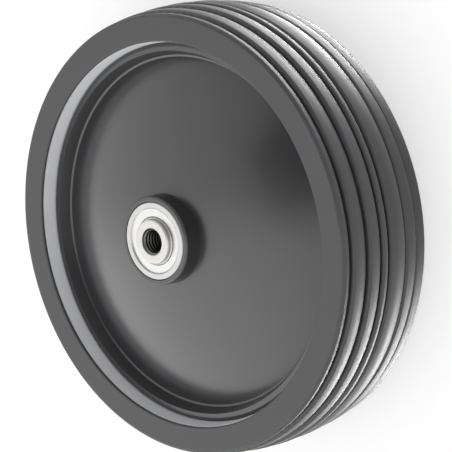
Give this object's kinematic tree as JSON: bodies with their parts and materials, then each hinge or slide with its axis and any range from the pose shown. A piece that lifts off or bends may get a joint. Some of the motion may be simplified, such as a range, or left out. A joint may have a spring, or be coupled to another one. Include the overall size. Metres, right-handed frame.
{
  "type": "wheel",
  "caption": "Garden machine wheel with ribbed rubber tyre, pale rim and domed hub turning on shielded ball bearings round a threaded sleeve.",
  "frame": {"origin": "on the axis of the wheel, in the plane of the tyre's back face, on which the wheel lies", "axes": "+Z along the axis of the wheel, towards the boss; the wheel is round about Z"},
  "size_m": [0.2029, 0.203, 0.0679],
  "materials": {
    "tyre_rubber": "satin moulded rubber",
    "rim_plastic": "satin light grey",
    "hub_plastic": "glossy black",
    "ring_steel": "ground",
    "ball_steel": "polished",
    "cage_steel": "pressed sheet",
    "shield_steel": "plated sheet",
    "sleeve_steel": "zinc plated, turned",
    "spring_steel": "phosphated"
  },
  "bodies": {
    "axle_side": {"sleeve": "sleeve_steel", "spacer": "sleeve_steel", "retaining_ring": "spring_steel", "front_inner_ring": "ring_steel", "rear_inner_ring": "ring_steel"},
    "wheel": {"tyre": "tyre_rubber", "rim": "rim_plastic", "hub": "hub_plastic", "front_outer_ring": "ring_steel", "rear_outer_ring": "ring_steel", "front_outer_shield": "shield_steel", "front_inner_shield": "shield_steel", "rear_outer_shield": "shield_steel", "rear_inner_shield": "shield_steel"},
    "front_ball_set": {"front_balls": "ball_steel", "front_cage_outer": "cage_steel", "front_cage_inner": "cage_steel", "front_cage_rivets": "cage_steel"},
    "rear_ball_set": {"rear_balls": "ball_steel", "rear_cage_outer": "cage_steel", "rear_cage_inner": "cage_steel", "rear_cage_rivets": "cage_steel"}
  },
  "joints": [
    {"name": "wheel_spin", "type": "hinge", "parent": "axle_side", "child": "wheel", "pos_m": [0, 0, 0.03615], "axis": [0, 0, 1], "continuous": true},
    {"name": "front_cage_spin", "type": "hinge", "parent": "axle_side", "child": "front_ball_set", "pos_m": [0, 0, 0.0608], "axis": [0, 0, 1], "continuous": true},
    {"name": "rear_cage_spin", "type": "hinge", "parent": "axle_side", "child": "rear_ball_set", "pos_m": [0, 0, 0.0115], "axis": [0, 0, 1], "continuous": true}
  ],
  "couplings": [
    {"joint": "front_cage_spin", "follows": "wheel_spin", "ratio": 0.619},
    {"joint": "rear_cage_spin", "follows": "wheel_spin", "ratio": 0.619}
  ]
}
